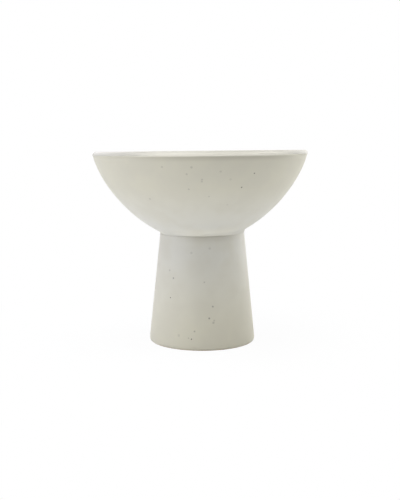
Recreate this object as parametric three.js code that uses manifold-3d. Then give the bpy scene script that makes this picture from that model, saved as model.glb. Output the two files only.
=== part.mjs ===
// Footed serving bowl in speckled stoneware: a thrown bowl on a hollow, flaring pedestal, joined
// before firing by a coil of soft clay pressed into the seam. Millimetres, +Z up. The table is the
// plane z = 0, and the Z axis runs through the centre of the rim.
import * as THREE from "three";
import { mergeVertices } from "three/addons/utils/BufferGeometryUtils.js";
import Module from "manifold-3d";

// Bowl
const RIM_RADIUS = 110; // to the ridge at the foot of the lip, the widest point
const BOWL_DEPTH = 89.6; // outside, from the top of the wall down to the lowest point
const RIM_FLARE = 15; // degrees that the wall leans outwards under the lip
const RIM_REACH = 42.1; // how far down the wall keeps that direction
const BASE_REACH = 50; // how far out the underside stays level
const BOWL_WALL = 5.6; // clay in the wall, at the rim
const BOWL_FLOOR = 7.5; // clay at the middle of the bottom
const LIP_PROUD = 0.45; // how far the ridge stands out from the wall below it
const LIP_STEP = 0.25; // height of the step from the wall up to the ridge
const LIP_RISE = 3.9; // from the ridge up to the crest
const LIP_SETBACK = 2.6; // how far the crest lies inside the ridge
const LIP_SLANT = 8; // degrees that the lip's outer face leans inwards where it starts
const COVE_DEPTH = 0.2; // of the hollow that the tool leaves under the step
const COVE_WIDTH = 4;

// Pedestal
const PEDESTAL_HEIGHT = 112.9; // table to the outer edge of the seat
const PEDESTAL_TOP_RADIUS = 43.7;
const PEDESTAL_FOOT_RADIUS = 55.4;
const PEDESTAL_WALL = 7;
const FOOT_ROUND = 2.4; // outer edge that stands on the table, along the table
const FOOT_RISE = 4.1; // the same edge, up the wall
const FOOT_INNER_ROUND = 1.4;
const SEAT_ROUND = 0.8; // outer edge under the seam
const SEAT_INNER_ROUND = 0.8;

// Joint between the two, as this one was put together by hand
const JOINT_BED = 1.5; // least clay between the bowl and the seat
const COIL_PROUD = 0.1; // how far the coil stands out beyond the seat's edge
const COIL_ROUND = 0.5; // lower outer edge of the coil
const COIL_LEAN = 42; // degrees that the coil's face leans outwards, to where it is smoothed on to the bowl
const JOINT_GAP = 0.3; // clearance that the coil keeps to each of its neighbours
const BOWL_OFFSET = -1.4; // the bowl sits this far off the pedestal's axis, along X
const BOWL_TILT = -0.6; // degrees about Y by which the seat, and the bowl on it, are out of level

// Facets
const TURN_STEPS = 72; // around the axis
const WALL_STEPS = 18; // along a bowl wall, from bottom to lip
const COVE_STEPS = 4; // across the cove
const LIP_STEPS = 5; // over each side of the lip
const ROUND_STEPS = 4; // around a rounded edge

const GLAZE = { color: 0xd8d5c8, roughness: 0.55, metalness: 0 };

const tilt = THREE.MathUtils.degToRad(BOWL_TILT);
const wasm = await Module();
wasm.setup();

// Turns an outline of radius and height about the Z axis.
function turned(outline) {
  return new THREE.LatheGeometry(outline, TURN_STEPS).rotateX(Math.PI / 2);
}

// A closed outline through corners [radius, height, round], with each corner rounded off. A second round
// is for the side that follows the corner, where the two sides differ.
function roundedOutline(corners) {
  const path = new THREE.Path();
  corners.forEach(([radius, height, round, nextRound = round], i) => {
    const corner = new THREE.Vector2(radius, height);
    const [before, after] = [corners.at(i - 1), corners[(i + 1) % corners.length]].map(
      ([r, z]) => new THREE.Vector2(r, z).sub(corner),
    );
    const start = before.setLength(Math.min(round, before.length() / 2)).add(corner);
    const end = after.setLength(Math.min(nextRound, after.length() / 2)).add(corner);
    if (i === 0) path.moveTo(start.x, start.y);
    else path.lineTo(start.x, start.y);
    path.quadraticCurveTo(corner.x, corner.y, end.x, end.y);
  });
  path.closePath();
  return path.getPoints(ROUND_STEPS);
}

function solidOf(geometry) {
  const bare = geometry.clone().deleteAttribute("normal").deleteAttribute("uv");
  const merged = mergeVertices(bare, 1e-4);
  return new wasm.Manifold(
    new wasm.Mesh({
      numProp: 3,
      vertProperties: merged.getAttribute("position").array,
      triVerts: new Uint32Array(merged.index.array),
    }),
  );
}

function geometryOf(solid) {
  const { vertProperties, triVerts } = solid.getMesh();
  const geometry = new THREE.BufferGeometry();
  geometry.setAttribute("position", new THREE.BufferAttribute(vertProperties, 3));
  geometry.setIndex(new THREE.BufferAttribute(triVerts, 1));
  geometry.computeVertexNormals();
  return geometry;
}

// The bowl's own frame has height 0 where the wall ends, under the step to the lip's ridge.
const flare = THREE.MathUtils.degToRad(RIM_FLARE);
const upWall = new THREE.Vector2(Math.sin(flare), Math.cos(flare));
const wallEnd = new THREE.Vector2(RIM_RADIUS - LIP_PROUD, 0);
const outside = new THREE.CubicBezierCurve(
  new THREE.Vector2(0, -BOWL_DEPTH),
  new THREE.Vector2(BASE_REACH, -BOWL_DEPTH),
  wallEnd.clone().addScaledVector(upWall, -RIM_REACH),
  wallEnd,
);

// A point beside the outside curve at t, moved outwards by a distance, or inwards if it is negative.
// The curve is level where it starts, on the axis.
function besideOutside(t, distance) {
  const along = t === 0 ? new THREE.Vector2(1, 0) : outside.getTangent(t);
  return outside.getPoint(t).add(new THREE.Vector2(along.y, -along.x).multiplyScalar(distance));
}

// The place on the outside curve at a given radius, found by halving.
function outsideAt(radius) {
  let [low, high] = [0, 1];
  for (let i = 0; i < 40; i++) {
    const middle = (low + high) / 2;
    if (outside.getPoint(middle).x < radius) low = middle;
    else high = middle;
  }
  return low;
}

function outsideHeight(radius) {
  return outside.getPoint(outsideAt(radius)).y;
}

function stepsAlong(count, from = 0, to = 1) {
  return Array.from({ length: count + 1 }, (_, i) => from + ((to - from) * i) / count);
}

// The wall from the pole up to the cove, and across the cove to the wall's end.
function outerWall() {
  const coveStart = 1 - COVE_WIDTH / (3 * RIM_REACH);
  const wall = stepsAlong(WALL_STEPS, 0, coveStart).map((t) => outside.getPoint(t));
  const cove = stepsAlong(COVE_STEPS).map((u) =>
    besideOutside(THREE.MathUtils.lerp(coveStart, 1, u), -COVE_DEPTH * 4 * u * (1 - u)),
  );
  return [...wall, ...cove.slice(1)];
}

// From the ridge up the slanted face to the crest, and down to the inside of the wall.
function lipOutline(insideEnd) {
  const slant = THREE.MathUtils.degToRad(LIP_SLANT);
  const upFace = new THREE.Vector2(-Math.sin(slant), Math.cos(slant));
  const ridge = new THREE.Vector2(RIM_RADIUS, LIP_STEP);
  const crest = new THREE.Vector2(RIM_RADIUS - LIP_SETBACK, LIP_STEP + LIP_RISE);
  const face = new THREE.CubicBezierCurve(
    ridge,
    ridge.clone().addScaledVector(upFace, 0.7 * LIP_RISE),
    new THREE.Vector2(crest.x + 0.35 * LIP_SETBACK, crest.y),
    crest,
  );
  const back = new THREE.CubicBezierCurve(
    crest,
    new THREE.Vector2((crest.x + insideEnd.x) / 2, crest.y),
    insideEnd.clone().addScaledVector(upWall, 0.6 * (crest.y - insideEnd.y)),
    insideEnd,
  );
  return [...face.getPoints(LIP_STEPS), ...back.getPoints(LIP_STEPS).slice(1)];
}

function bowlGeometry() {
  const inner = stepsAlong(WALL_STEPS, 1, 0).map((t) =>
    besideOutside(t, -THREE.MathUtils.lerp(BOWL_FLOOR, BOWL_WALL, t)),
  );
  return turned([...outerWall(), ...lipOutline(inner[0]).slice(0, -1), ...inner]);
}

// The seat is dished to the slope of the bowl's underside, and its outer edge is at PEDESTAL_HEIGHT.
const seatInnerRadius = PEDESTAL_TOP_RADIUS - PEDESTAL_WALL;
const seatDrop = outsideHeight(PEDESTAL_TOP_RADIUS) - outsideHeight(seatInnerRadius);

// Leans the top of an upright piece out of level along X, and leaves its foot level.
function leanTop(geometry, height) {
  const places = geometry.getAttribute("position");
  for (let i = 0; i < places.count; i++) {
    const rise = -Math.tan(tilt) * places.getX(i) * (places.getZ(i) / height);
    places.setZ(i, places.getZ(i) + rise);
  }
  return geometry;
}

function pedestalGeometry() {
  const outline = roundedOutline([
    [PEDESTAL_FOOT_RADIUS, 0, FOOT_ROUND, FOOT_RISE],
    [PEDESTAL_TOP_RADIUS, PEDESTAL_HEIGHT, SEAT_ROUND],
    [seatInnerRadius, PEDESTAL_HEIGHT - seatDrop, SEAT_INNER_ROUND],
    [PEDESTAL_FOOT_RADIUS - PEDESTAL_WALL, 0, FOOT_INNER_ROUND],
  ]);
  return leanTop(turned(outline), PEDESTAL_HEIGHT);
}

// Height of the wall's end above the seat's edge, which leaves JOINT_BED on the side that the bowl leans to.
const rimAboveSeat = JOINT_BED - outsideHeight(PEDESTAL_TOP_RADIUS - Math.abs(BOWL_OFFSET));

// The space that the bowl's underside takes from the coil, with the clearance between them.
function bowlSpace() {
  const end = outsideAt(2 * PEDESTAL_TOP_RADIUS);
  const underside = stepsAlong(WALL_STEPS, 0, end).map((t) => besideOutside(t, JOINT_GAP));
  const lid = new THREE.Vector2(0, underside.at(-1).y);
  return turned([...underside, lid]).translate(BOWL_OFFSET, 0, rimAboveSeat);
}

// The coil fills the seat in its own frame, with height 0 at the seat's edge, and takes the print of
// the bowl that is pressed into it. Its face leans out until the bowl ends it.
function coilGeometry() {
  const outer = PEDESTAL_TOP_RADIUS + COIL_PROUD;
  const squeezed = 4 * JOINT_BED + Math.abs(BOWL_OFFSET);
  const spread = (squeezed - JOINT_GAP) * Math.tan(THREE.MathUtils.degToRad(COIL_LEAN));
  const blank = turned(
    roundedOutline([
      [outer, JOINT_GAP, COIL_ROUND],
      [outer + spread, squeezed, 0],
      [seatInnerRadius, squeezed - seatDrop, 0],
      [seatInnerRadius, JOINT_GAP - seatDrop, 0],
    ]),
  );
  return geometryOf(solidOf(blank).subtract(solidOf(bowlSpace())));
}

function piece(name, geometry) {
  const mesh = new THREE.Mesh(geometry, new THREE.MeshStandardMaterial(GLAZE));
  mesh.name = name;
  return mesh;
}

const pedestal = piece("pedestal", pedestalGeometry());
const coil = piece("joint_coil", coilGeometry());
const bowl = piece("bowl", bowlGeometry());
bowl.position.set(BOWL_OFFSET, 0, rimAboveSeat);

const seat = new THREE.Group();
seat.position.z = PEDESTAL_HEIGHT;
seat.rotation.y = tilt;
seat.add(coil, bowl);

// The pedestal stands to one side of the origin, so that the rim's centre is above it.
const servingBowl = new THREE.Group();
const rimDrift = BOWL_OFFSET * Math.cos(tilt) + rimAboveSeat * Math.sin(tilt);
const upright = new THREE.Group();
upright.position.x = -rimDrift;
upright.add(pedestal, seat);
servingBowl.add(upright);

export default servingBowl;
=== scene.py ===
import math
from functools import partial
from typing import NamedTuple

import bpy
from bpy.props import FloatProperty, FloatVectorProperty, IntProperty, PointerProperty
from mathutils import Matrix, Vector


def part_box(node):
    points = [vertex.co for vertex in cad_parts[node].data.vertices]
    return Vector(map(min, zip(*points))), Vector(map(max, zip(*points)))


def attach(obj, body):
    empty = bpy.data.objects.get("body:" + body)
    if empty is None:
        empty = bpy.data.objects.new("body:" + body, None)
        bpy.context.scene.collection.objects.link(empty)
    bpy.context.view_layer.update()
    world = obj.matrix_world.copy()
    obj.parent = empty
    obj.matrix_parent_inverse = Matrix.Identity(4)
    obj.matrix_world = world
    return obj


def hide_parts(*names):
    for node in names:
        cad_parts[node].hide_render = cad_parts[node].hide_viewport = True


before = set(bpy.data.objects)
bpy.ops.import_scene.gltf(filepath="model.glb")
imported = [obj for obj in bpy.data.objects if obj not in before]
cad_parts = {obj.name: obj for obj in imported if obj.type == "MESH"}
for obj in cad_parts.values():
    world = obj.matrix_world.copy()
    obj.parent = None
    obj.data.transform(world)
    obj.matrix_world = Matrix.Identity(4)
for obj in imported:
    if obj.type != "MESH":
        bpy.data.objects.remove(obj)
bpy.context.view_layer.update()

bl_info = {
    "name": "Footed Stoneware Bowl",
    "version": (1, 0, 0),
    "blender": (4, 5, 0),
    "location": "3D View > Sidebar > Footed Bowl",
    "description": "Makes a footed serving bowl in speckled stoneware, and a plain studio to show it in",
    "category": "Object",
}

MM = 0.001
BODY = "root"

# What the frame says: the rim's size, the pedestal's axis beside the rim's, and the joint's height
bowl_low, bowl_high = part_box("bowl")
pedestal_low, pedestal_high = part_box("pedestal")
RIM_RADIUS = (bowl_high.y - bowl_low.y) / 2
PEDESTAL_AXIS = (pedestal_low.x + pedestal_high.x) / 2
JOINT_HEIGHT = pedestal_high.z

# Rows along an outline: their spacing on a plain stretch and in the coil, and how many each bend has
ROW_SPACING = 2.2 * MM
COIL_SPACING = 0.5 * MM
ROUND_ROWS = 10
LIP_ROWS = 14
COVE_ROWS = 12
RIDGE_ROWS = 4
# An edge between facets that bends more than this stays crisp.
CRISP_BEND = math.radians(75)

# How far glaze softens the corners of the lip's step
RIDGE_SOFT = 0.2 * MM
# How full the lip's face is, its crest and its back, as shares of their height and width
FACE_FULLNESS = 0.7
CREST_FULLNESS = 0.35
BACK_FULLNESS = 0.6
# How far the coil's foot is tucked in, as a share of the seat's rounded edge, and how far its collar swells
COIL_TUCK = 0.6
COLLAR_SWELL = 0.6

# What a row gives to each vertex that is turned from it
ROW_VALUES = ("outer", "thin", "thick", "hollow", "press")

# How far the painted highlight hangs below the lip's ridge, and the share of the lip's face that it covers
HIGHLIGHT_REACH = 1.6 * MM
HIGHLIGHT_SHARE = 0.35
# How far below the lip and the seam the painted shade reaches, and how deep it is at the pedestal's and the
# coil's edge
HOLLOW_REACH = 6.5 * MM
SEAM_REACH = 7.5 * MM
SEAM_HOLLOW = 0.7
COIL_HOLLOW = 1.4
# How strong the painted shade is where it is fullest, and the trace of it all round
PAINTED_SHADE_DEPTH = 0.36
PAINTED_SHADE_TRACE = 0.02
# How far out under the bowl the painted light at the joint goes, and how strong it is there and on the coil
PAINTED_JOINT_REACH = 16 * MM
PAINTED_JOINT_LIGHT = 0.4
# The side on which painted light and shade are strongest, towards the front a little to the right, and how
# squarely a place faces it where they start and are full
PAINTED_SIDE = (0.17, -0.985, 0)
PAINTED_START = 0.62
PAINTED_FULL = 0.97
# Share of a grain of iron that has its full tone, inside a soft edge
GRAIN_CORE = 0.6

# The photograph's frame in pixels, and the film that its long side covers, in millimetres
PHOTO_SIZE = Vector((400, 500))
FILM = 36.0


class Speck(NamedTuple):
    """An iron speck where the photograph shows one: its pixel, its size across, and how dark it is."""

    x: float
    y: float
    across: float
    darkness: float


BOWL_SPECKS = (
    Speck(241.6, 187.3, 1.9 * MM, 0.75),
    Speck(254.4, 173.3, 1.8 * MM, 0.65),
    Speck(202.0, 179.6, 2.3 * MM, 0.2),
    Speck(201.9, 181.6, 2.3 * MM, 0.2),
    Speck(186.6, 174.2, 2.3 * MM, 0.2),
    Speck(188.8, 189.3, 2.0 * MM, 0.25),
    Speck(220.7, 171.6, 2.7 * MM, 0.15),
    Speck(191.5, 167.3, 2.8 * MM, 0.2),
    Speck(162.0, 167.0, 2.4 * MM, 0.2),
    Speck(150.0, 199.0, 2.6 * MM, 0.2),
    Speck(209.0, 196.5, 2.0 * MM, 0.2),
    Speck(230.6, 179.4, 3.0 * MM, 0.1),
    Speck(227.4, 204.8, 2.4 * MM, 0.1),
)

PEDESTAL_SPECKS = (
    Speck(170.5, 297.6, 1.6 * MM, 0.95),
    Speck(191.4, 339.3, 1.6 * MM, 0.9),
    Speck(209.2, 318.4, 2.3 * MM, 0.5),
    Speck(212.8, 306.6, 2.3 * MM, 0.4),
    Speck(173.4, 278.2, 2.2 * MM, 0.45),
    Speck(194.5, 331.4, 2.3 * MM, 0.35),
    Speck(213.4, 322.8, 2.8 * MM, 0.25),
    Speck(214.2, 320.6, 2.3 * MM, 0.2),
    Speck(204.3, 282.3, 1.9 * MM, 0.25),
    Speck(188.6, 338.2, 1.9 * MM, 0.25),
    Speck(169.7, 270.3, 2.5 * MM, 0.2),
    Speck(178.8, 335.5, 3.2 * MM, 0.15),
    Speck(191.4, 252.9, 2.8 * MM, 0.15),
    Speck(209.7, 248.5, 2.8 * MM, 0.15),
)


def linear(hex_colour):
    """An sRGB hex value as linear red, green and blue."""
    shares = [int(hex_colour[i : i + 2], 16) / 255 for i in (1, 3, 5)]
    return [s / 12.92 if s <= 0.04045 else ((s + 0.055) / 1.055) ** 2.4 for s in shares]


def length(name, description, default):
    return FloatProperty(name=name, description=description, default=default, unit="LENGTH")


def angle(name, description, degrees):
    return FloatProperty(name=name, description=description, default=math.radians(degrees), subtype="ANGLE")


def colour(name, description, hex_colour):
    return FloatVectorProperty(
        name=name, description=description, default=linear(hex_colour), subtype="COLOR", min=0, max=1
    )


def power(name, description, watts):
    return FloatProperty(name=name, description=description, default=watts, subtype="POWER", min=0)


class BowlForm(bpy.types.PropertyGroup):
    """Sizes of the thrown bowl"""

    rim_radius: length("Rim Radius", "To the ridge at the foot of the lip, the widest point", RIM_RADIUS)
    depth: length("Depth", "Outside, from the top of the wall down to the lowest point", 89.6 * MM)
    flare: angle("Rim Flare", "Lean of the wall under the lip", 15)
    rim_reach: length("Rim Reach", "How far down the wall keeps that lean", 42.1 * MM)
    base_reach: length("Base Reach", "How far out the underside stays level", 50 * MM)
    wall: length("Wall", "Clay in the wall, at the rim", 5.6 * MM)
    floor: length("Floor", "Clay at the middle of the bottom", 7.5 * MM)
    lip_proud: length("Lip Proud", "How far the ridge stands out from the wall below it", 0.45 * MM)
    lip_step: length("Lip Step", "Height of the step from the wall up to the ridge", 0.25 * MM)
    lip_rise: length("Lip Rise", "From the ridge up to the crest", 3.9 * MM)
    lip_setback: length("Lip Setback", "How far the crest lies inside the ridge", 2.6 * MM)
    lip_slant: angle("Lip Slant", "Lean of the lip's outer face, inwards, where it starts", 8)
    cove_depth: length("Cove Depth", "Of the hollow that the tool leaves under the step", 0.2 * MM)
    cove_width: length("Cove Width", "Of that hollow", 4 * MM)


class PedestalForm(bpy.types.PropertyGroup):
    """Sizes of the hollow pedestal"""

    height: length("Height", "Table to the outer edge of the seat", 112.9 * MM)
    top_radius: length("Top Radius", "Outside, at the seat", 43.7 * MM)
    foot_radius: length("Foot Radius", "Outside, at the table", 55.4 * MM)
    wall: length("Wall", "Clay in the wall", 7 * MM)
    foot_round: length("Foot Round", "Outer edge that stands on the table, along the table", 2.4 * MM)
    foot_rise: length("Foot Rise", "The same edge, up the wall", 4.1 * MM)
    foot_inner_round: length("Foot Inner Round", "Inner edge of the foot ring", 1.4 * MM)
    seat_round: length("Seat Round", "Outer edge under the seam", 0.8 * MM)
    seat_inner_round: length("Seat Inner Round", "Inner edge of the seat", 0.8 * MM)


class JointForm(bpy.types.PropertyGroup):
    """How the bowl was set on the pedestal by hand"""

    bed: length("Bed", "Least clay between the bowl and the seat", 1.5 * MM)
    proud: length("Coil Proud", "How far the coil stands out beyond the seat's edge", 0.1 * MM)
    coil_round: length("Coil Round", "Lower outer edge of the coil", 0.9 * MM)
    collar: length("Collar", "How far the coil is smoothed out under the bowl", 1.2 * MM)
    offset: length("Offset", "How far the bowl sits off the pedestal's axis, along X", -1.4 * MM)
    tilt: angle("Tilt", "How far the seat, and the bowl on it, are out of level about Y", -0.6)


class HandForm(bpy.types.PropertyGroup):
    """What the potter's hands leave in the shape"""

    facets: IntProperty(name="Facets", description="Facets around each turned piece", default=256, min=32)
    wobble: length("Wobble", "How far the wall wanders out of true", 0.16 * MM)
    wobble_size: length("Wobble Size", "Length of one such swelling", 60 * MM)
    seed: IntProperty(name="Seed", description="Which swellings appear", default=4)


class GlazeLook(bpy.types.PropertyGroup):
    """Colours and grain of the glaze and of the clay under it"""

    # Painted bounce light: near the joint the glaze keeps this whiter, cooler colour, for the floor's light
    # under the bowl
    main: colour("Glaze", "Where it has run thick, near the joint", "#DDDBD1")
    warm: colour("Warm Glaze", "Where it lies thinner, up the bowl and at the foot", "#DBD7C4")
    cloud: colour("Cloud", "Faint clouds in it", "#D5D1C1")
    thin: colour("Thin Glaze", "Over the lip", "#C9C6BB")
    # Painted highlight: the colour that lightens the lip's ridge and lower face, the coil and the bowl's
    # underside by the seam
    thick: colour("Thick Glaze", "The bead along the lip, and the run that the coil has caught", "#FAF6E8")
    # Painted shade: the colour that darkens the glaze under the lip's step, round the coil's foot and under
    # the seam
    hollow: colour("Hollow", "Where it has gathered under a ledge", "#9C9686")
    speck: colour("Speck", "Iron that has melted through", "#4F483D")
    pepper: colour("Pepper", "Fine iron under the glaze", "#A69D8B")
    clay: colour("Bare Clay", "The wiped ring that stands on the table", "#BFA98B")
    roughness: FloatProperty(
        name="Roughness",
        description="Satin surface of the glaze",
        default=0.48,
        subtype="FACTOR",
        min=0,
        max=1,
    )
    # Height at which the painted bounce light is fullest
    joint_height: length("Joint Height", "Where the glaze is thickest", JOINT_HEIGHT)
    cloud_size: length("Cloud Size", "Across one cloud", 26 * MM)
    speck_size: length("Speck Size", "Across the largest scattered speck", 2.8 * MM)
    speck_spacing: length("Speck Spacing", "Between iron grains in the clay", 11 * MM)
    pepper_size: length("Pepper Size", "Across the largest grain of pepper", 0.5 * MM)
    pepper_spacing: length("Pepper Spacing", "Between grains of pepper in the clay", 3.2 * MM)
    bare_height: length("Bare Height", "Height to which the foot is wiped bare", 0.9 * MM)


class StudioLook(bpy.types.PropertyGroup):
    """Camera, lamps and floor"""

    camera_back: length("Camera Distance", "From the bowl's axis to the camera", 0.811)
    camera_height: length("Camera Height", "From the table to the camera", 0.1978)
    camera_pitch: angle("Camera Pitch", "How far the camera looks down", 7.28)
    focal_pixels: FloatProperty(
        name="Focal Length", description="In pixels of the photograph", default=781.4, subtype="PIXEL"
    )
    left: power("Left Lamp", "Soft lamp low on the left", 4.75)
    high_left: power("High Left Lamp", "Soft lamp high in front, to the left", 12.2)
    right: power("Right Lamp", "Soft lamp on the right", 10.4)
    top: power("Top Lamp", "Soft lamp straight above", 8.0)
    back_left: power("Back Left Lamp", "Soft lamp behind, to the left", 7.2)
    back_right: power("Back Right Lamp", "Soft lamp behind, to the right", 6.7)
    front: power("Front Lamp", "Soft lamp low in front, to the left", 5.1)
    daylight: colour("Daylight", "Cool tint of the left and back left lamps", "#E9ECFF")
    lamp_size: length("Lamp Size", "Side of each soft lamp", 1.0)
    lamp_reach: length("Lamp Distance", "From the bowl to each lamp", 1.6)
    room: FloatProperty(name="Room", description="Light from the white room all round", default=0.0, min=0)
    paper: colour("Paper", "The floor", "#F4F5F6")


class FootedBowlSettings(bpy.types.PropertyGroup):
    """All that a user may change"""

    bowl: PointerProperty(type=BowlForm)
    pedestal: PointerProperty(type=PedestalForm)
    joint: PointerProperty(type=JointForm)
    hand: PointerProperty(type=HandForm)
    glaze: PointerProperty(type=GlazeLook)
    studio: PointerProperty(type=StudioLook)


def node(tree, kind, inputs=(), out=0, **settings):
    """Adds a node with its settings, and gives one of its outputs. Inputs come in order, or by name in a
    dictionary, and each is a value or the output that feeds it."""
    added = tree.nodes.new(kind)
    for key, value in settings.items():
        setattr(added, key, value)
    for key, value in inputs.items() if isinstance(inputs, dict) else enumerate(inputs):
        if isinstance(value, bpy.types.NodeSocket):
            tree.links.new(value, added.inputs[key])
        else:
            added.inputs[key].default_value = value
    return added.outputs[out] if added.outputs else None


class Row(NamedTuple):
    """One row of a turned piece: its radius and height, how far the glaze is thin there, how much painted
    light and how much painted shade it carries, and how far the row is pressed towards the bowl (to 1) or the
    seat (to -1)."""

    point: Vector
    thin: float = 0.0
    thick: float = 0.0
    hollow: float = 0.0
    press: float = 0.0


class Curve(NamedTuple):
    """A cubic curve by its two ends and the two handles between them."""

    start: Vector
    start_handle: Vector
    end_handle: Vector
    end: Vector

    def point(self, t):
        s = 1 - t
        return (
            s**3 * self.start
            + 3 * s**2 * t * self.start_handle
            + 3 * s * t**2 * self.end_handle
            + t**3 * self.end
        )

    def beside(self, t, distance):
        """A point moved off the curve, outwards of a curve that climbs."""
        s = 1 - t
        along = (
            s**2 * (self.start_handle - self.start)
            + 2 * s * t * (self.end_handle - self.start_handle)
            + t**2 * (self.end - self.end_handle)
        ).normalized()
        return self.point(t) + distance * Vector((along.y, -along.x))

    def height_at(self, radius):
        """Height where the curve reaches a radius, found by halving."""
        low, high = 0.0, 1.0
        for _ in range(40):
            middle = (low + high) / 2
            low, high = (middle, high) if self.point(middle).x < radius else (low, middle)
        return self.point(low).y


def fade(distance, reach):
    """Falls smoothly from 1 at no distance to 0 at the reach."""
    share = max(0.0, 1 - abs(distance) / reach)
    return share * share * (3 - 2 * share)


def rounded(start, corner, end, t):
    """A point on the curve that rounds off a corner."""
    return start.lerp(corner, t).lerp(corner.lerp(end, t), t)


def up_wall(form):
    """Along the wall where it ends under the lip."""
    return Vector((math.sin(form.flare), math.cos(form.flare)))


def bowl_outside(form):
    """From the lowest point up to the wall's end. The bowl's own frame has height 0 there."""
    wall_end = Vector((form.rim_radius - form.lip_proud, 0))
    return Curve(
        Vector((0, -form.depth)),
        Vector((form.base_reach, -form.depth)),
        wall_end - up_wall(form) * form.rim_reach,
        wall_end,
    )


def bowl_inside(form):
    """The inside of the wall at a step of the outside curve."""
    outside = bowl_outside(form)
    return lambda t: outside.beside(t, -(form.floor + (form.wall - form.floor) * t))


def wall_rows(form, seat_radius):
    """Up the outside and across the cove to the wall's end."""
    outside = bowl_outside(form)
    cove_start = 1 - form.cove_width / (3 * form.rim_reach)
    count = round((form.depth + form.rim_radius) / ROW_SPACING)
    points = [outside.point(cove_start * i / count) for i in range(count)]
    for i in range(COVE_ROWS + 1):
        u = i / COVE_ROWS
        points.append(outside.beside(cove_start + (1 - cove_start) * u, -form.cove_depth * 4 * u * (1 - u)))
    rows = []
    # Painted highlight hangs just below the lip's ridge and lies on the underside near the seat; painted
    # shade darkens the cove under it
    for point in points:
        below = (point - outside.end).length
        painted_share = fade(below, HIGHLIGHT_REACH)
        painted_at_joint = PAINTED_JOINT_LIGHT * fade(max(0, point.x - seat_radius), PAINTED_JOINT_REACH)
        rows.append(Row(point, thick=max(painted_share, painted_at_joint), hollow=(1 - painted_share) * fade(below, HOLLOW_REACH)))
    return rows


def lip_rows(form):
    """Out over the step to the ridge, up the lip's face to its crest, and down towards the wall's inside."""
    ridge = Vector((form.rim_radius, form.lip_step))
    crest = Vector((form.rim_radius - form.lip_setback, form.lip_step + form.lip_rise))
    inside_end = bowl_inside(form)(1)
    up_face = Vector((-math.sin(form.lip_slant), math.cos(form.lip_slant)))
    face = Curve(
        ridge,
        ridge + FACE_FULLNESS * form.lip_rise * up_face,
        crest + Vector((CREST_FULLNESS * form.lip_setback, 0)),
        crest,
    )
    back = Curve(
        crest,
        Vector(((crest.x + inside_end.x) / 2, crest.y)),
        inside_end + BACK_FULLNESS * (crest.y - inside_end.y) * up_wall(form),
        inside_end,
    )
    # The step's two corners are softened by glaze.
    wall_end, soft = bowl_outside(form).end, RIDGE_SOFT
    up_step = (ridge - wall_end).normalized()
    before, after = ridge - soft * up_step, face.point(soft / (3 * FACE_FULLNESS * form.lip_rise))
    # The step, the ridge and the lower part of the lip's face carry painted highlight
    rows = [Row(wall_end + soft * up_step, thick=1)]
    for i in range(RIDGE_ROWS + 1):
        t = i / RIDGE_ROWS
        rows.append(Row(rounded(before, ridge, after, t), thin=t, thick=1))
    for i in range(1, LIP_ROWS + 1):
        point = face.point(i / LIP_ROWS)
        up = (point.y - ridge.y) / form.lip_rise
        rows.append(Row(point, thin=1, thick=fade(max(0, up - HIGHLIGHT_SHARE), 1 - HIGHLIGHT_SHARE)))
    rows += [Row(back.point(i / LIP_ROWS), thin=1 - i / LIP_ROWS) for i in range(1, LIP_ROWS)]
    return rows


def bowl_rows(form, seat_radius):
    """Up the outside from the lowest point, over the lip, and down the inside to the middle of the floor."""
    inside = bowl_inside(form)
    count = round((form.depth + form.rim_radius) / ROW_SPACING)
    inside_rows = [Row(inside(1 - i / count)) for i in range(count + 1)]
    return [*wall_rows(form, seat_radius), *lip_rows(form), *inside_rows]


def straight_rows(start, end):
    """Rows between two points, without either."""
    count = max(1, round((end - start).length / ROW_SPACING))
    return [Row(start.lerp(end, i / count)) for i in range(1, count)]


def pedestal_rows(form, seat_drop):
    """Once round the wall's section, with each corner rounded off: up the outside and down the inside."""
    corners = (
        (Vector((form.foot_radius, 0)), form.foot_round, form.foot_rise),
        (Vector((form.top_radius, form.height)), form.seat_round, form.seat_round),
        (
            Vector((form.top_radius - form.wall, form.height - seat_drop)),
            form.seat_inner_round,
            form.seat_inner_round,
        ),
        (Vector((form.foot_radius - form.wall, 0)), form.foot_inner_round, form.foot_inner_round),
    )
    rows = []
    for i, (corner, setback, next_setback) in enumerate(corners):
        before = corners[i - 1][0] - corner
        after = corners[(i + 1) % len(corners)][0] - corner
        start = corner + before.normalized() * setback
        end = corner + after.normalized() * next_setback
        if rows:
            rows += straight_rows(rows[-1].point, start)
        rows += [Row(rounded(start, corner, end, j / ROUND_ROWS)) for j in range(ROUND_ROWS + 1)]
    rows += [*straight_rows(rows[-1].point, rows[0].point), rows[0]]
    # Painted shade darkens the rows near the seat's outer edge, under the seam
    seat_edge = corners[1][0]
    painted_shade = [SEAM_HOLLOW * fade((row.point - seat_edge).length, SEAM_REACH) for row in rows]
    return [row._replace(hollow=depth) for row, depth in zip(rows, painted_shade)]


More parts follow.
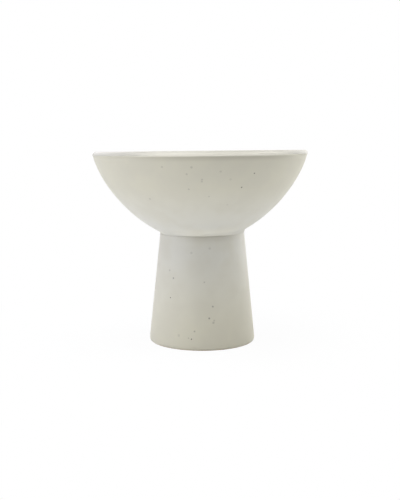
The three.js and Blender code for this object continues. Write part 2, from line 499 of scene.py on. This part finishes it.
def coil_rows(pedestal, joint, seat_drop):
    """Once round the coil's section, in a frame with height 0 at the seat's edge: out along the seat, round
    the lower edge that shows above the seam, out over the collar to the bowl, and in again under the bowl."""
    inner = pedestal.top_radius - pedestal.wall + pedestal.seat_inner_round
    foot = pedestal.top_radius - COIL_TUCK * pedestal.seat_round
    outer = pedestal.top_radius + joint.proud
    slope = seat_drop / pedestal.wall
    count = round(pedestal.wall / COIL_SPACING)

    def over_seat(radius, lift):
        return Vector((radius, lift + slope * min(0.0, radius - pedestal.top_radius)))

    # The lower and the upper face start at heights of their own, so that closing the mesh doesn't join them.
    low, high = joint.bed / 3, joint.bed / 2
    across = [inner + (foot - inner) * i / count for i in range(count + 1)]
    rows = [Row(over_seat(radius, low), press=-1) for radius in across]
    start, corner, end = over_seat(foot, 0), Vector((outer, 0)), Vector((outer, joint.coil_round))
    # Round the coil's lower edge painted shade fades out from the foot while painted light comes in; the
    # collar carries painted light
    for i in range(1, ROUND_ROWS + 1):
        t = i / ROUND_ROWS
        rows.append(Row(rounded(start, corner, end, t), thick=PAINTED_JOINT_LIGHT * t, hollow=COIL_HOLLOW * (1 - t)))
    for i in range(1, ROUND_ROWS + 1):
        t = i / ROUND_ROWS
        pressed = t * (1 + COLLAR_SWELL * (1 - t))
        rows.append(Row(end + Vector((t * joint.collar, 0)), thick=PAINTED_JOINT_LIGHT, press=pressed))
    rows += [Row(over_seat(radius, high), press=1) for radius in (outer, *reversed(across))]
    return [*rows, rows[0]]


def outline_mesh(name, rows):
    """A line of loose vertices, one for each row, at its radius along X and its height along Z. Each carries
    its row's values, how far along the outline it lies, and whether it is on the outside."""
    mesh = bpy.data.meshes.new(name)
    mesh.from_pydata([(row.point.x, 0, row.point.y) for row in rows], [], [])
    travel = [0.0]
    for before, row in zip(rows, rows[1:]):
        travel.append(travel[-1] + (row.point - before.point).length)
    climbs = [b.point.y > a.point.y for a, b in zip(rows, rows[1:])]
    values_of = {
        "travel": [t / travel[-1] for t in travel],
        "outer": [float(climb) for climb in (*climbs, climbs[-1])],
        "thin": [row.thin for row in rows],
        "thick": [row.thick for row in rows],
        "hollow": [row.hollow for row in rows],
        "press": [row.press for row in rows],
    }
    for key, values in values_of.items():
        mesh.attributes.new(key, "FLOAT", "POINT").data.foreach_set("value", values)
    return mesh


def new_tree(name, inputs):
    """An empty geometry tree with named inputs besides its geometry, and what those inputs give."""
    tree = bpy.data.node_groups.new(name, "GeometryNodeTree")
    tree.interface.new_socket("Geometry", in_out="INPUT", socket_type="NodeSocketGeometry")
    for key, kind in inputs.items():
        tree.interface.new_socket(key, in_out="INPUT", socket_type=kind)
    tree.interface.new_socket("Geometry", in_out="OUTPUT", socket_type="NodeSocketGeometry")
    return tree, node(tree, "NodeGroupInput").node.outputs


def turning_tree():
    """Turns an outline about the Z axis, lets the wall wander, leans the top, and sets the piece down."""
    kinds = {
        "Facets": "NodeSocketInt",
        "Wobble": "NodeSocketFloat",
        "Wobble Size": "NodeSocketFloat",
        "Seed": "NodeSocketInt",
        "Lean": "NodeSocketFloat",
        "Tilt": "NodeSocketFloat",
        "Place": "NodeSocketVector",
        "Material": "NodeSocketMaterial",
    }
    tree, given = new_tree("Turned On The Wheel", kinds)
    add = partial(node, tree)
    outline = given["Geometry"]

    # A sheet with one column of vertices for each facet and the seam, and one vertex in it for each row.
    rows = add("GeometryNodeAttributeDomainSize", {"Geometry": outline}, "Point Count", component="MESH")
    columns = add("ShaderNodeMath", (given["Facets"], 1), operation="ADD")
    sheet = add("GeometryNodeMeshGrid", {"Vertices X": columns, "Vertices Y": rows})
    index = add("GeometryNodeInputIndex")
    row = add("ShaderNodeMath", (index, rows), operation="FLOORED_MODULO")
    before = add("ShaderNodeMath", (index, row), operation="SUBTRACT")
    column = add("ShaderNodeMath", (before, rows), operation="DIVIDE")
    turn = add("ShaderNodeMath", (column, given["Facets"]), operation="DIVIDE")

    # What each vertex of the sheet takes from its row
    values = {"Position": add("GeometryNodeInputPosition")}
    for key in (*ROW_VALUES, "travel"):
        values[key] = add("GeometryNodeInputNamedAttribute", {"Name": key}, data_type="FLOAT")
    taken = {}
    for key, value in values.items():
        kind = "FLOAT_VECTOR" if key == "Position" else "FLOAT"
        sampled = {"Geometry": outline, "Value": value, "Index": row}
        taken[key] = add("GeometryNodeSampleIndex", sampled, data_type=kind)

    # Round the axis, with the seam at the back
    point = add("ShaderNodeSeparateXYZ", (taken["Position"],)).node.outputs
    bearing = add("ShaderNodeMath", (turn, 2 * math.pi, math.pi / 2), operation="MULTIPLY_ADD")
    east = add("ShaderNodeMath", (bearing,), operation="COSINE")
    north = add("ShaderNodeMath", (bearing,), operation="SINE")
    around = add("ShaderNodeCombineXYZ", (east, north, 0.0))
    upright = add("ShaderNodeCombineXYZ", (0.0, 0.0, point["Z"]))
    true_place = add("ShaderNodeVectorMath", (around, point["X"], upright), operation="MULTIPLY_ADD")

    # The wall swells in and out by the wobble, less and less towards the axis.
    fineness = add("ShaderNodeMath", (1.0, given["Wobble Size"]), operation="DIVIDE")
    field = {"Vector": true_place, "W": given["Seed"], "Scale": fineness, "Detail": 1.0}
    swelling = add("ShaderNodeTexNoise", field, noise_dimensions="4D")
    either_way = add("ShaderNodeMath", (swelling, 4.0, -2.0), operation="MULTIPLY_ADD")
    share = add("ShaderNodeMath", (point["X"], fineness), operation="MULTIPLY", use_clamp=True)
    most = add("ShaderNodeMath", (share, given["Wobble"]), operation="MULTIPLY")
    swing = add("ShaderNodeMath", (either_way, most), operation="MULTIPLY")
    swollen = add("ShaderNodeVectorMath", (around, swing, true_place), operation="MULTIPLY_ADD")

    # The lean raises one side of the top and lowers the other, and leaves the foot level.
    across = add("ShaderNodeSeparateXYZ", (swollen,)).node.outputs
    leaning = add("ShaderNodeMath", (across["X"], given["Lean"]), operation="MULTIPLY")
    rise = add("ShaderNodeMath", (leaning, across["Z"]), operation="MULTIPLY")
    raised = add("ShaderNodeCombineXYZ", (0.0, 0.0, rise))
    finished = add("ShaderNodeVectorMath", (swollen, raised), operation="ADD")

    # Each value of a row or a column is stored before the sheet is bent and closed.
    geometry = sheet
    for key in ROW_VALUES:
        stored = {"Geometry": geometry, "Name": key, "Value": taken[key]}
        geometry = add("GeometryNodeStoreNamedAttribute", stored, data_type="FLOAT", domain="POINT")
    flat = add("ShaderNodeCombineXYZ", (turn, taken["travel"], 0.0))
    at_corner = add("GeometryNodeFieldOnDomain", {"Value": flat}, data_type="FLOAT_VECTOR", domain="POINT")
    stored = {"Geometry": geometry, "Name": "OFBake", "Value": at_corner}
    geometry = add("GeometryNodeStoreNamedAttribute", stored, data_type="FLOAT2", domain="CORNER")
    geometry = add("GeometryNodeSetPosition", {"Geometry": geometry, "Position": finished})
    geometry = add("GeometryNodeMergeByDistance", {"Geometry": geometry, "Distance": 1e-6})
    tilt = add("ShaderNodeCombineXYZ", (0.0, given["Tilt"], 0.0))
    turned = add("FunctionNodeEulerToRotation", (tilt,))
    set_down = {"Geometry": geometry, "Translation": given["Place"], "Rotation": turned}
    geometry = add("GeometryNodeTransform", set_down)
    geometry = add("GeometryNodeSetShadeSmooth", {"Geometry": geometry})
    bend = add("GeometryNodeInputMeshEdgeAngle")
    folded = add("FunctionNodeCompare", (bend, CRISP_BEND), operation="GREATER_THAN")
    crisp = {"Geometry": geometry, "Selection": folded, "Shade Smooth": False}
    geometry = add("GeometryNodeSetShadeSmooth", crisp, domain="EDGE")
    geometry = add("GeometryNodeRealizeInstances", {"Geometry": geometry})
    geometry = add("GeometryNodeSetMaterial", {"Geometry": geometry, "Material": given["Material"]})
    add("NodeGroupOutput", {"Geometry": geometry})
    return tree


def pressing_tree():
    """Presses soft clay up against the bowl and down on the seat, so that it fills the joint."""
    kinds = {
        "Bowl": "NodeSocketObject",
        "Pedestal": "NodeSocketObject",
        "Reach": "NodeSocketFloat",
        "Material": "NodeSocketMaterial",
    }
    tree, given = new_tree("Pressed Into The Joint", kinds)
    add = partial(node, tree)
    geometry = given["Geometry"]
    press = add("GeometryNodeInputNamedAttribute", {"Name": "press"}, data_type="FLOAT")
    place = add("GeometryNodeInputPosition")
    for key, side in (("Bowl", 1.0), ("Pedestal", -1.0)):
        met = {"Object": given[key]}
        neighbour = add("GeometryNodeObjectInfo", met, "Geometry", transform_space="RELATIVE")
        sight = {"Target Geometry": neighbour, "Ray Direction": (0, 0, side), "Ray Length": given["Reach"]}
        ray = add("GeometryNodeRaycast", sight).node.outputs
        share = add("ShaderNodeMath", (press, side), operation="MULTIPLY", use_clamp=True)
        pressed = {"Factor": share, "A": place, "B": ray["Hit Position"]}
        moved = add("ShaderNodeMix", pressed, "Result", data_type="VECTOR")
        filled = {"Geometry": geometry, "Selection": ray["Is Hit"], "Position": moved}
        geometry = add("GeometryNodeSetPosition", filled)
    geometry = add("GeometryNodeRealizeInstances", {"Geometry": geometry})
    geometry = add("GeometryNodeSetMaterial", {"Geometry": geometry, "Material": given["Material"]})
    add("NodeGroupOutput", {"Geometry": geometry})
    return tree


def shape_by(piece, tree, settings):
    """Runs a tree on a piece and keeps the result as the piece's plain mesh."""
    modifier = piece.modifiers.new(tree.name, "NODES")
    modifier.node_group = tree
    for socket in tree.interface.items_tree:
        if socket.in_out == "INPUT" and socket.name in settings:
            modifier[socket.identifier] = settings[socket.name]
    graph = bpy.context.evaluated_depsgraph_get()
    shaped = bpy.data.meshes.new_from_object(piece.evaluated_get(graph))
    piece.modifiers.remove(modifier)
    piece.data = shaped
    if not shaped.polygons:
        raise RuntimeError(f"{piece.name} came out empty")


def turned_piece(name, rows, hand, place, tilt=0.0, lean=0.0):
    """A piece turned from its rows and set down at its place."""
    piece = bpy.data.objects.new(name, outline_mesh(name, rows))
    bpy.context.scene.collection.objects.link(piece)
    settings = {
        "Facets": hand.facets,
        "Wobble": hand.wobble,
        "Wobble Size": hand.wobble_size,
        "Seed": hand.seed,
        "Lean": lean,
        "Tilt": tilt,
        "Place": place,
    }
    shape_by(piece, bpy.data.node_groups.get("Turned On The Wheel") or turning_tree(), settings)
    return piece


def stand_in_for(piece, cad_node):
    """Makes a finished piece the look of a node of the frame."""
    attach(piece, BODY)
    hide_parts(cad_node)


def seat_drop(settings):
    """How much lower the seat's inner edge is than its outer one, as the bowl's underside is."""
    outside, pedestal = bowl_outside(settings.bowl), settings.pedestal
    return outside.height_at(pedestal.top_radius) - outside.height_at(pedestal.top_radius - pedestal.wall)


def seat_frame(settings):
    """From the seat's own frame, with height 0 at its outer edge, to the table's."""
    place = Matrix.Translation((PEDESTAL_AXIS, 0, settings.pedestal.height))
    return place @ Matrix.Rotation(settings.joint.tilt, 4, "Y")


def rim_above_seat(settings):
    """Leaves the least bed of clay on the side that the bowl is set off to."""
    joint = settings.joint
    return joint.bed - bowl_outside(settings.bowl).height_at(settings.pedestal.top_radius - abs(joint.offset))


def camera_place(studio):
    """From the camera's own axes to the table's."""
    place = Matrix.Translation((0, -studio.camera_back, studio.camera_height))
    return place @ Matrix.Rotation(math.pi / 2 - studio.camera_pitch, 4, "X")


def specks_on(piece, specks, studio):
    """Each speck with the place on the piece that its pixel shows."""
    view = camera_place(studio)
    found = []
    for speck in specks:
        across, down = Vector((speck.x, speck.y)) - PHOTO_SIZE / 2
        sight = view.to_3x3() @ Vector((across, -down, -studio.focal_pixels))
        hit, place, _, _ = piece.ray_cast(view.translation, sight.normalized())
        if not hit:
            raise RuntimeError(f"no part of {piece.name} is seen at {speck.x}, {speck.y}")
        found.append((speck, place))
    return found


def glazed_stoneware(name, look, specks=(), bare_height=-1.0):
    """Speckled stoneware under a satin white glaze, dipped and fired. It is soft off-white with faint clouds,
    warmer up the bowl and at the foot, and whiter and cooler near the joint, which is painted bounce light
    from the floor. It is grey where it is thin over the lip. A painted highlight lies along the lip's ridge,
    on the coil and under the bowl by the seam, and painted shade under the lip's step, round the coil's foot
    and under the seam, both strongest towards the front, a little to the right. Iron specks have melted
    through it, with fine pepper below. Up to bare_height it is wiped off and shows sandy clay."""
    material = bpy.data.materials.new(name)
    material.use_nodes = True
    tree = material.node_tree
    tree.nodes.clear()
    add = partial(node, tree)

    place = add("ShaderNodeTexCoord", out="Object")
    apart = add("ShaderNodeSeparateXYZ", (place,)).node.outputs
    thin = add("ShaderNodeAttribute", out="Fac", attribute_name="thin")
    # Painted light and painted shade come with the rows, in the next two values
    thick = add("ShaderNodeAttribute", out="Fac", attribute_name="thick")
    hollow = add("ShaderNodeAttribute", out="Fac", attribute_name="hollow")
    outer = add("ShaderNodeAttribute", out="Fac", attribute_name="outer")

    # No grain is quite round, so their distances are measured from a place that wanders by a quarter of a
    # millimetre.
    stir = add("ShaderNodeTexNoise", {"Vector": place, "Scale": 1 / (0.8 * MM), "Detail": 0.0}, "Color")
    either_way = add("ShaderNodeVectorMath", (stir, (0.5, 0.5, 0.5)), operation="SUBTRACT")
    ragged = add("ShaderNodeVectorMath", (either_way, (0.5 * MM,) * 3, place), operation="MULTIPLY_ADD")

    # Grains lie one to a cell, each of its own size and tone, most of them faint. Scattered specks keep off
    # the front of the outside, where each speck has its own place.
    grains = {}
    for kind, spacing, size in (
        ("speck", look.speck_spacing, look.speck_size),
        ("pepper", look.pepper_spacing, look.pepper_size),
    ):
        cells = add("ShaderNodeTexVoronoi", {"Vector": ragged, "Scale": 1 / spacing}).node.outputs
        own = add("ShaderNodeSeparateColor", (cells["Color"],)).node.outputs
        largest = 0.5 * size / spacing
        reach = add("ShaderNodeMath", (own[0], 0.7 * largest, 0.3 * largest), operation="MULTIPLY_ADD")
        core = add("ShaderNodeMath", (reach, GRAIN_CORE), operation="MULTIPLY")
        spot = add("ShaderNodeMapRange", (cells["Distance"], reach, core), interpolation_type="SMOOTHSTEP")
        bold = add("ShaderNodeMath", (own[1], 3.0), operation="POWER")
        tone = add("ShaderNodeMath", (bold, 0.7, 0.15), operation="MULTIPLY_ADD")
        grains[kind] = add("ShaderNodeMath", (spot, tone), operation="MULTIPLY")
    behind = add("ShaderNodeMapRange", (apart["Y"], -10 * MM, 10 * MM), interpolation_type="SMOOTHSTEP")
    free = add("ShaderNodeMix", {"Factor": outer, "A": 1.0, "B": behind})
    iron = add("ShaderNodeMath", (grains["speck"], free), operation="MULTIPLY")
    for speck, centre in specks:
        away = add("ShaderNodeVectorMath", (ragged, centre), "Value", operation="DISTANCE")
        edge = speck.across / 2
        shade = (away, edge, GRAIN_CORE * edge, 0.0, speck.darkness)
        spot = add("ShaderNodeMapRange", shade, interpolation_type="SMOOTHSTEP")
        iron = add("ShaderNodeMath", (iron, spot), operation="MAXIMUM")

    # Painted light and shade are strongest towards the front, a little to the right: the painted highlight
    # along the lip and on the coil, and the painted shade in the hollows.
    level = add("ShaderNodeVectorMath", (place, (1, 1, 0)), operation="MULTIPLY")
    bearing = add("ShaderNodeVectorMath", (level,), operation="NORMALIZE")
    facing_painted_side = add("ShaderNodeVectorMath", (bearing, PAINTED_SIDE), "Value", operation="DOT_PRODUCT")
    painted_share = add("ShaderNodeMapRange", (facing_painted_side, PAINTED_START, PAINTED_FULL), interpolation_type="SMOOTHSTEP")
    painted_highlight = add("ShaderNodeMath", (thick, painted_share), operation="MULTIPLY")
    depth = add("ShaderNodeMath", (painted_share, PAINTED_SHADE_DEPTH, PAINTED_SHADE_TRACE), operation="MULTIPLY_ADD")
    painted_shade = add("ShaderNodeMath", (hollow, depth), operation="MULTIPLY")

    # It is warmer up the bowl and at the foot of the pedestal; near the joint it stays whiter and cooler,
    # painted bounce light from the floor.
    rise = add("ShaderNodeMath", (apart["Z"], look.joint_height), operation="SUBTRACT")
    up_bowl = add("ShaderNodeMapRange", (rise, 12 * MM, 50 * MM))
    down_foot = add("ShaderNodeMapRange", (rise, -20 * MM, -90 * MM))
    warmth = add("ShaderNodeMath", (up_bowl, down_foot), operation="MAXIMUM")
    cloud = add("ShaderNodeTexNoise", {"Vector": place, "Scale": 1 / look.cloud_size, "Detail": 2.0})
    clouds = add("ShaderNodeMapRange", (cloud, 0.35, 0.65), interpolation_type="SMOOTHSTEP")

    # Over the glaze's colour go in turn: the warmer colour away from the joint, leaving painted cool bounce
    # light near it; clouds; thin glaze; the painted highlight; the painted shade; pepper and specks
    layers = (
        (warmth, look.warm),
        (add("ShaderNodeMath", (clouds, 0.5), operation="MULTIPLY"), look.cloud),
        (thin, look.thin),
        (painted_highlight, look.thick),
        (painted_shade, look.hollow),
        (add("ShaderNodeMath", (grains["pepper"], 0.5), operation="MULTIPLY"), look.pepper),
        (iron, look.speck),
    )
    surface = (*look.main, 1)
    for share, over in layers:
        coated = {"Factor": share, "A": surface, "B": (*over, 1)}
        surface = add("ShaderNodeMix", coated, "Result", data_type="RGBA")
    satin = add("ShaderNodeTexNoise", {"Vector": place, "Scale": 1 / (9 * MM)})
    roughness = add("ShaderNodeMath", (satin, 0.12, look.roughness - 0.06), operation="MULTIPLY_ADD")

    # The glaze is dimpled like a peel, too finely to show but in its sheen, and sinks where iron has melted.
    peel = add("ShaderNodeTexNoise", {"Vector": place, "Scale": 1 / (2.4 * MM), "Detail": 1.0})
    sunk = add("ShaderNodeMath", (iron, -0.12 * MM), operation="MULTIPLY")
    height = add("ShaderNodeMath", (peel, 0.03 * MM, sunk), operation="MULTIPLY_ADD")

    # The wiped ring has a wavering line, and the grain of sandy clay below it.
    if bare_height > 0:
        waver = add("ShaderNodeTexNoise", {"Vector": place, "Scale": 1 / (11 * MM)})
        level = add("ShaderNodeMath", (waver, 1.2 * MM, apart["Z"]), operation="MULTIPLY_ADD")
        line = (level, bare_height + 0.75 * MM, bare_height + 0.45 * MM)
        bare = add("ShaderNodeMapRange", line, interpolation_type="SMOOTHSTEP")
        sand = add("ShaderNodeTexNoise", {"Vector": place, "Scale": 1 / (0.7 * MM)})
        grit = add("ShaderNodeMapRange", (sand, 0.5, 0.75, 0.0, 0.5), interpolation_type="SMOOTHSTEP")
        clay = {"Factor": grit, "A": (*look.clay, 1), "B": (*look.speck, 1)}
        clay = add("ShaderNodeMix", clay, "Result", data_type="RGBA")
        surface = add("ShaderNodeMix", {"Factor": bare, "A": surface, "B": clay}, "Result", data_type="RGBA")
        roughness = add("ShaderNodeMix", {"Factor": bare, "A": roughness, "B": 0.85})
        bumps = add("ShaderNodeMath", (bare, sand), operation="MULTIPLY")
        height = add("ShaderNodeMath", (bumps, 0.08 * MM, height), operation="MULTIPLY_ADD")

    bump = add("ShaderNodeBump", {"Height": height, "Distance": 1.0})
    coat = {"Base Color": surface, "Roughness": roughness, "IOR": 1.5, "Normal": bump}
    shader = add("ShaderNodeBsdfPrincipled", coat)
    add("ShaderNodeOutputMaterial", {"Surface": shader})
    return material


def seamless_paper(look):
    """Matt white paper that runs back from under the bowl. It throws light up as paper does, and the eye sees
    it burnt out to white but for a faint shadow round the foot."""
    material = bpy.data.materials.new("seamless white paper")
    material.use_nodes = True
    tree = material.node_tree
    tree.nodes.clear()
    add = partial(node, tree)
    matt = add("ShaderNodeBsdfDiffuse", {"Color": (*look.paper, 1)})
    white = add("ShaderNodeEmission", {"Color": (1, 1, 1, 1), "Strength": 1.0})
    place = add("ShaderNodeTexCoord", out="Object")
    away = add("ShaderNodeVectorMath", (place,), "Value", operation="LENGTH")
    clearing = (away, 60 * MM, 300 * MM, 0.95, 1.0)
    burnt_out = add("ShaderNodeMapRange", clearing, interpolation_type="SMOOTHSTEP")
    share = add("ShaderNodeMath", (burnt_out, white_rays(tree)), operation="MULTIPLY")
    shown = add("ShaderNodeMixShader", (share, matt, white))
    add("ShaderNodeOutputMaterial", {"Surface": shown})
    return material


def white_rays(tree):
    """1 for what the camera sees, itself or in gloss or glass, and 0 for light that falls on the object."""
    rays = node(tree, "ShaderNodeLightPath").node.outputs
    seen = node(tree, "ShaderNodeMath", (rays["Is Camera Ray"], rays["Is Glossy Ray"]), operation="MAXIMUM")
    return node(tree, "ShaderNodeMath", (seen, rays["Is Transmission Ray"]), operation="MAXIMUM")


class FOOTED_BOWL_OT_bowl(bpy.types.Operator):
    """Turn and glaze the bowl"""

    bl_idname = "footed_bowl.bowl"
    bl_label = "Bowl"

    def execute(self, context):
        settings = context.scene.footed_bowl
        lift = Matrix.Translation((settings.joint.offset, 0, rim_above_seat(settings)))
        place = (seat_frame(settings) @ lift).translation
        rows = bowl_rows(settings.bowl, settings.pedestal.top_radius)
        bowl = turned_piece("bowl_glazed", rows, settings.hand, place, tilt=settings.joint.tilt)
        specks = specks_on(bowl, BOWL_SPECKS, settings.studio)
        bowl.data.materials.clear()
        bowl.data.materials.append(glazed_stoneware("glazed stoneware, bowl", settings.glaze, specks))
        stand_in_for(bowl, "bowl")
        return {"FINISHED"}


class FOOTED_BOWL_OT_pedestal(bpy.types.Operator):
    """Turn and glaze the pedestal"""

    bl_idname = "footed_bowl.pedestal"
    bl_label = "Pedestal"

    def execute(self, context):
        settings = context.scene.footed_bowl
        pedestal = turned_piece(
            "pedestal_glazed",
            pedestal_rows(settings.pedestal, seat_drop(settings)),
            settings.hand,
            (PEDESTAL_AXIS, 0, 0),
            lean=-math.tan(settings.joint.tilt) / settings.pedestal.height,
        )
        specks = specks_on(pedestal, PEDESTAL_SPECKS, settings.studio)
        look = settings.glaze
        pedestal.data.materials.clear()
        pedestal.data.materials.append(
            glazed_stoneware("glazed stoneware, pedestal", look, specks, look.bare_height)
        )
        stand_in_for(pedestal, "pedestal")
        return {"FINISHED"}


class FOOTED_BOWL_OT_coil(bpy.types.Operator):
    """Press the coil of clay into the seam between the bowl and the pedestal"""

    bl_idname = "footed_bowl.coil"
    bl_label = "Joint Coil"

    def execute(self, context):
        settings = context.scene.footed_bowl
        coil = turned_piece(
            "joint_coil_glazed",
            coil_rows(settings.pedestal, settings.joint, seat_drop(settings)),
            settings.hand,
            seat_frame(settings).translation,
            tilt=settings.joint.tilt,
        )
        neighbours = {
            "Bowl": bpy.data.objects["bowl_glazed"],
            "Pedestal": bpy.data.objects["pedestal_glazed"],
            "Reach": settings.pedestal.wall,
            "Material": glazed_stoneware("glazed stoneware, coil", settings.glaze),
        }
        shape_by(coil, pressing_tree(), neighbours)
        stand_in_for(coil, "joint_coil")
        return {"FINISHED"}


class FOOTED_BOWL_OT_studio(bpy.types.Operator):
    """Set up the camera, the lamps, the white room and the floor"""

    bl_idname = "footed_bowl.studio"
    bl_label = "Studio"

    def execute(self, context):
        scene, look = context.scene, context.scene.footed_bowl.studio
        scene.view_settings.view_transform = "Standard"
        self.add_camera(scene, look)
        self.add_lamps(scene, look)
        self.add_room(scene, look)
        self.add_floor(scene, look)
        return {"FINISHED"}

    def add_camera(self, scene, look):
        lens = bpy.data.cameras.new("camera")
        lens.sensor_fit = "VERTICAL"
        lens.sensor_height = FILM
        lens.lens = look.focal_pixels / PHOTO_SIZE.y * FILM
        camera = bpy.data.objects.new("camera", lens)
        camera.matrix_world = camera_place(look)
        scene.collection.objects.link(camera)
        scene.camera = camera

    def add_lamps(self, scene, look):
        aim = Vector((0, 0, 120 * MM))
        # Each lamp's tint, its side of the bowl from the camera towards the right, and its height, in degrees
        white = (1, 1, 1)
        lamps = (
            ("left", look.left, look.daylight, -90, 20),
            ("high left", look.high_left, white, -45, 65),
            ("right", look.right, white, 90, 35),
            ("top", look.top, white, 0, 90),
            ("back left", look.back_left, look.daylight, -135, 35),
            ("back right", look.back_right, white, 135, 20),
            ("front", look.front, white, -45, 20),
        )
        for name, watts, tint, side, rise in lamps:
            lamp = bpy.data.lights.new(name, "AREA")
            lamp.shape = "SQUARE"
            lamp.size = look.lamp_size
            lamp.energy = watts
            lamp.color = tint
            turn = Matrix.Rotation(math.radians(side), 3, "Z") @ Matrix.Rotation(-math.radians(rise), 3, "X")
            reach = turn @ Vector((0, -look.lamp_reach, 0))
            holder = bpy.data.objects.new(name, lamp)
            holder.location = aim + reach
            holder.rotation_euler = (-reach).to_track_quat("-Z", "Y").to_euler()
            scene.collection.objects.link(holder)

    def add_room(self, scene, look):
        world = bpy.data.worlds.new("white room")
        world.use_nodes = True
        tree = world.node_tree
        tree.nodes.clear()
        add = partial(node, tree)
        strength = add("ShaderNodeMapRange", {"Value": white_rays(tree), "To Min": look.room, "To Max": 1.0})
        white = add("ShaderNodeBackground", {"Color": (1, 1, 1, 1), "Strength": strength})
        add("ShaderNodeOutputWorld", {"Surface": white})
        scene.world = world

    def add_floor(self, scene, look):
        reach, drop = 3.0, 0.1 * MM
        corners = [(x * reach, y * reach, -drop) for x, y in ((-1, -1), (1, -1), (1, 1), (-1, 1))]
        mesh = bpy.data.meshes.new("floor")
        mesh.from_pydata(corners, [], [(0, 1, 2, 3)])
        mesh.materials.append(seamless_paper(look))
        floor = bpy.data.objects.new("floor", mesh)
        scene.collection.objects.link(floor)


class FOOTED_BOWL_PT_panel(bpy.types.Panel):
    """Makes each piece in turn"""

    bl_label = "Footed Bowl"
    bl_space_type = "VIEW_3D"
    bl_region_type = "UI"
    bl_category = "Footed Bowl"

    def draw(self, context):
        settings = context.scene.footed_bowl
        for operator in OPERATORS:
            self.layout.operator(operator.bl_idname)
        for group in settings.bl_rna.properties:
            if group.type != "POINTER" or group.identifier == "rna_type":
                continue
            box = self.layout.box()
            box.label(text=group.identifier.title())
            form = getattr(settings, group.identifier)
            for prop in form.bl_rna.properties:
                if prop.identifier not in {"rna_type", "name"}:
                    box.prop(form, prop.identifier)


GROUPS = (BowlForm, PedestalForm, JointForm, HandForm, GlazeLook, StudioLook, FootedBowlSettings)
OPERATORS = (FOOTED_BOWL_OT_bowl, FOOTED_BOWL_OT_pedestal, FOOTED_BOWL_OT_coil, FOOTED_BOWL_OT_studio)


def register():
    for cls in (*GROUPS, *OPERATORS, FOOTED_BOWL_PT_panel):
        bpy.utils.register_class(cls)
    bpy.types.Scene.footed_bowl = PointerProperty(type=FootedBowlSettings)


def unregister():
    del bpy.types.Scene.footed_bowl
    for cls in reversed((*GROUPS, *OPERATORS, FOOTED_BOWL_PT_panel)):
        bpy.utils.unregister_class(cls)


def main():
    register()
    bpy.ops.footed_bowl.bowl()
    bpy.ops.footed_bowl.pedestal()
    bpy.ops.footed_bowl.coil()
    bpy.ops.footed_bowl.studio()
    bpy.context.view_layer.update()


if __name__ == "__main__":
    main()
